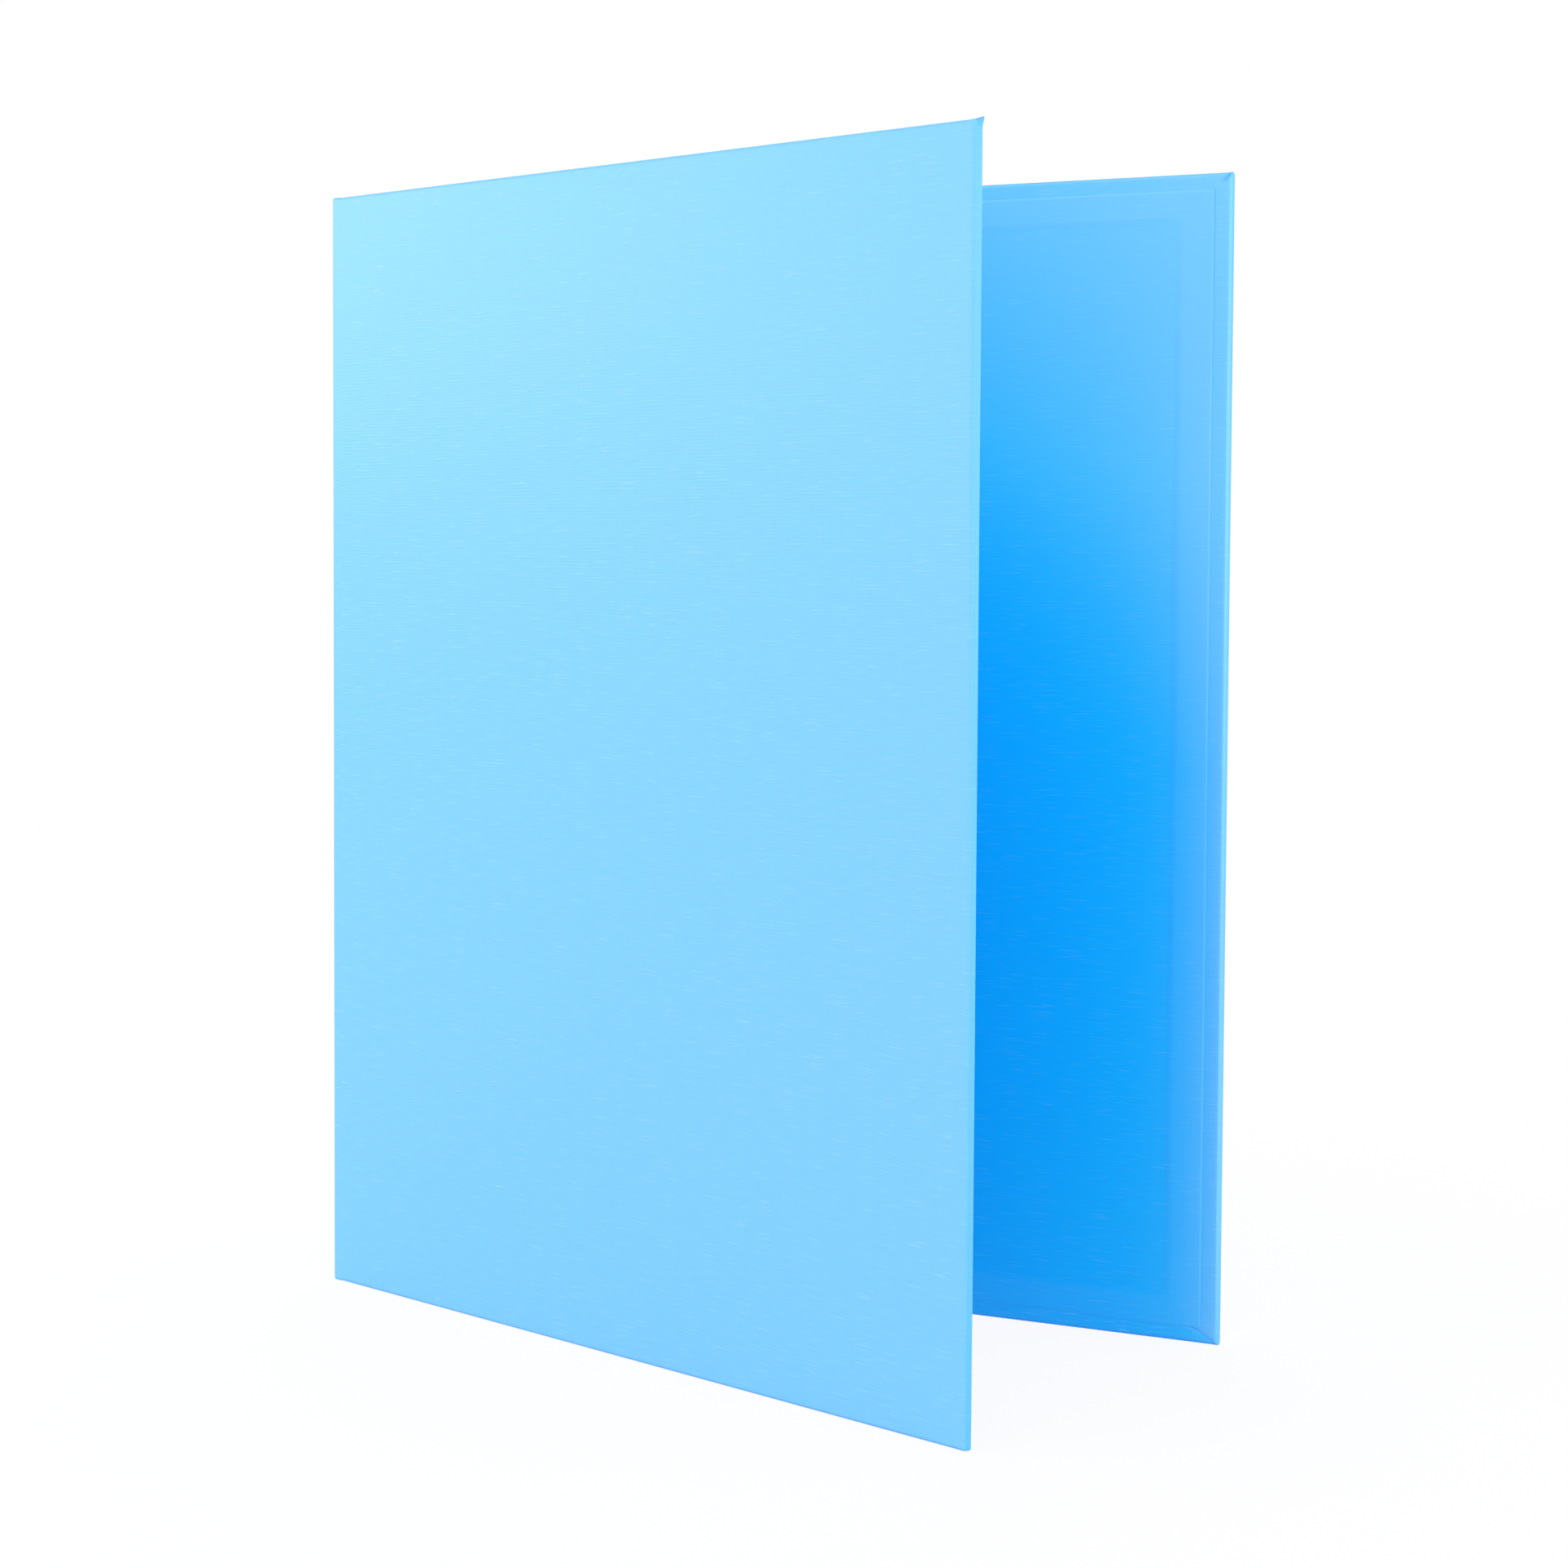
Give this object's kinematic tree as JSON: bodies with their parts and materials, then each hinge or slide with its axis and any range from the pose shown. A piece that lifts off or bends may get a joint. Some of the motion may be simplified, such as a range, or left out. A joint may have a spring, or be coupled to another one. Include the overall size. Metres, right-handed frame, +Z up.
{
  "type": "two-ring binder",
  "caption": "Cloth-covered board ring binder for A4 sheets, with a lined hinged case and a sprung ring mechanism riveted to the spine.",
  "frame": {"origin": "middle of the spine's bottom end, halfway through the spine's thickness", "axes": "+Z up the standing binder, +X from the spine to the fore edges, +Y towards the back cover"},
  "size_m": [0.257, 0.1357, 0.315],
  "materials": {
    "bookcloth": "linen-weave bookcloth, matt",
    "lining": "thin linen-weave lining, matt",
    "greyboard": "solid grey binder's board, raw",
    "nickel_plate": "bright nickel plate on steel",
    "spring_steel": "plain rolled spring steel"
  },
  "bodies": {
    "spine": {"spine_board": "greyboard", "spine_cloth": "bookcloth", "spine_lining": "lining", "front_hinge_cloth": "bookcloth", "front_hinge_lining": "lining", "back_hinge_cloth": "bookcloth", "back_hinge_lining": "lining", "ring_shell": "nickel_plate", "upper_rivet": "nickel_plate", "lower_rivet": "nickel_plate", "upper_rivet_washer": "nickel_plate", "lower_rivet_washer": "nickel_plate"},
    "front_cover": {"front_cover_board": "greyboard", "front_cover_cloth": "bookcloth", "front_cover_lining": "lining"},
    "back_cover": {"back_cover_board": "greyboard", "back_cover_cloth": "bookcloth", "back_cover_lining": "lining"},
    "front_ring_half": {"front_ring_blade": "spring_steel", "upper_front_half_ring": "nickel_plate", "lower_front_half_ring": "nickel_plate"},
    "back_ring_half": {"back_ring_blade": "spring_steel", "upper_back_half_ring": "nickel_plate", "lower_back_half_ring": "nickel_plate"}
  },
  "joints": [
    {"name": "front_cover_hinge", "type": "hinge", "parent": "spine", "child": "front_cover", "pos_m": [-0.0015, -0.0275, 0.1575], "axis": [0, 0, -1], "range_deg": [-18.5, 161.5], "deforming": ["front_hinge_cloth", "front_hinge_lining"]},
    {"name": "back_cover_hinge", "type": "hinge", "parent": "spine", "child": "back_cover", "pos_m": [-0.0015, 0.0275, 0.1575], "axis": [0, 0, 1], "range_deg": [0, 180], "deforming": ["back_hinge_cloth", "back_hinge_lining"]},
    {"name": "front_ring_pivot", "type": "hinge", "parent": "spine", "child": "front_ring_half", "pos_m": [0.00355, -0.0086, 0.1575], "axis": [0, 0, -1], "range_deg": [0, 12]},
    {"name": "back_ring_pivot", "type": "hinge", "parent": "spine", "child": "back_ring_half", "pos_m": [0.00355, 0.0086, 0.1575], "axis": [0, 0, 1], "range_deg": [0, 12]}
  ],
  "couplings": [
    {"joint": "back_ring_pivot", "follows": "front_ring_pivot", "ratio": 1}
  ]
}
